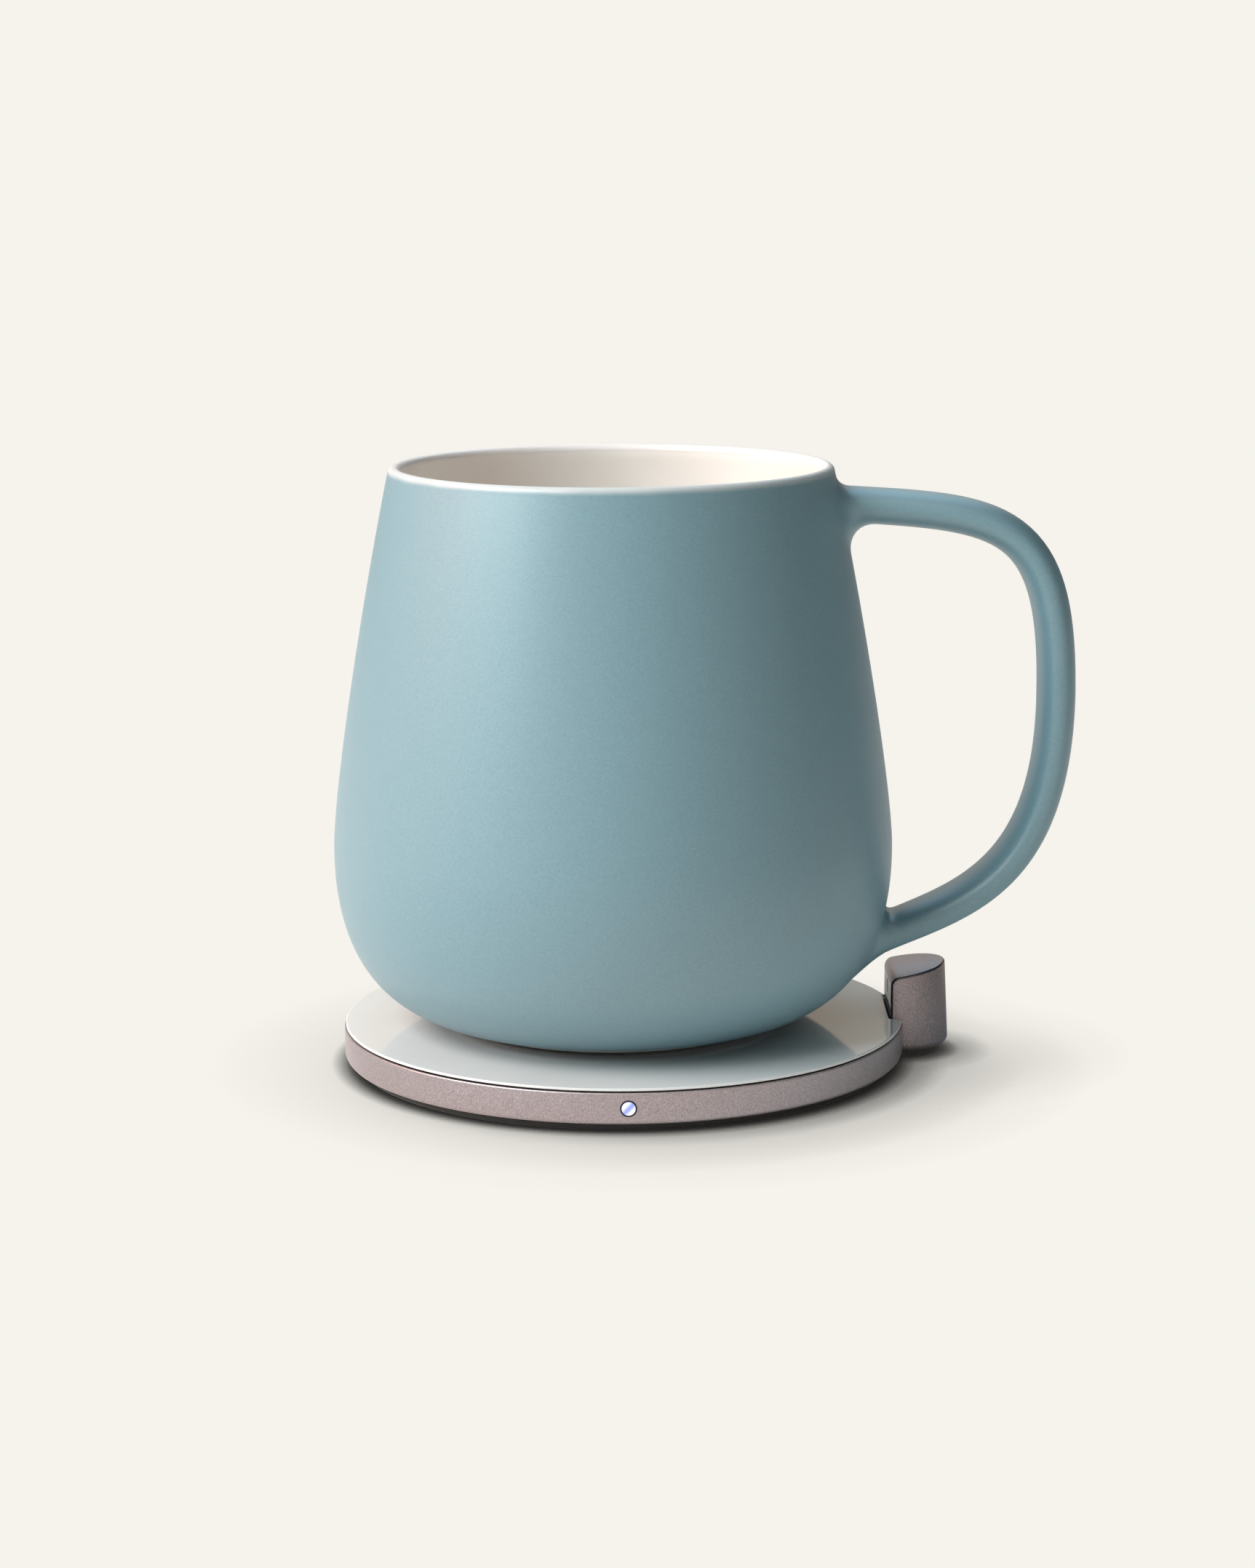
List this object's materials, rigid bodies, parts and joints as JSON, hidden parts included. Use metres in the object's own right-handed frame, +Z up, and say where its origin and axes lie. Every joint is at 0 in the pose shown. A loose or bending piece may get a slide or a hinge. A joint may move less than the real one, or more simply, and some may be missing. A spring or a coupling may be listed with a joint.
{
  "type": "self heating mug",
  "caption": "Ceramic mug with a strap handle and a built-in heater, standing on its round induction charging pad with a sensor post.",
  "frame": {"origin": "on the table, at the axis of the charging pad, at the underside of its silicone foot", "axes": "+Z up, +X to the mug's handle and the pad's post, -Y to the front where the indicator is"},
  "size_m": [0.1187, 0.0907, 0.0965],
  "materials": {
    "matte_glaze": "matte glaze outside, glossy white glaze inside and on the lip",
    "base_polymer": "moulded, satin",
    "seal": "black seal",
    "silicone": "dark silicone",
    "copper_wire": "wound enamelled copper wire",
    "ferrite": "sintered, matte",
    "circuit_board": "green solder mask",
    "epoxy": "black moulded epoxy",
    "ceramic_chip": "fired, with tinned ends",
    "felt": "pressed insulating felt",
    "film": "amber polyimide film",
    "plated_steel": "nickel plated",
    "plain_aluminium": "rolled",
    "anodised_aluminium": "bead blasted and anodised rose grey",
    "white_plate": "glossy white",
    "window": "glossy grey",
    "dark_lens": "infrared black, polished",
    "indicator": "clear dome, lit bluish white",
    "black_moulding": "moulded, fine grain"
  },
  "bodies": {
    "pad": {"top_plate": "white_plate", "plate_gasket": "seal", "ring_housing": "anodised_aluminium", "silicone_foot": "silicone", "bottom_cover": "black_moulding", "cover_screw_1": "plated_steel", "cover_screw_2": "plated_steel", "cover_screw_3": "plated_steel", "cover_screw_4": "plated_steel", "coil_carrier": "black_moulding", "ferrite_disc": "ferrite", "transmitter_coil": "copper_wire", "pad_thermistor": "epoxy", "main_board": "circuit_board", "inductor": "ferrite", "controller_chip": "epoxy", "bridge_chip": "epoxy", "resonance_capacitor_1": "ceramic_chip", "resonance_capacitor_2": "ceramic_chip", "resonance_capacitor_3": "ceramic_chip", "status_led": "indicator", "led_lens": "indicator", "usb_socket": "plated_steel", "usb_tongue": "black_moulding", "post_housing": "anodised_aluminium", "post_window": "window", "sensor_lens": "dark_lens", "infrared_sensor": "plated_steel", "post_board": "circuit_board", "sensor_cable": "film", "post_base": "black_moulding", "post_screw": "plated_steel"},
    "mug": {"mug_body": "matte_glaze", "mug_handle": "matte_glaze", "base_plate": "base_polymer", "base_gasket": "seal", "receiver_coil": "copper_wire", "receiver_ferrite": "ferrite", "receiver_board": "circuit_board", "receiver_chip": "epoxy", "receiver_capacitor_1": "ceramic_chip", "receiver_capacitor_2": "ceramic_chip", "insulation_disc": "felt", "thermal_fuse": "plated_steel", "film_heater": "film", "heat_spreader": "plain_aluminium", "floor_thermistor": "epoxy"}
  },
  "joints": [
    {"name": "mug_lift", "type": "slide", "parent": "pad", "child": "mug", "axis": [0, 0, 1], "range_m": [0, 0.06]}
  ]
}
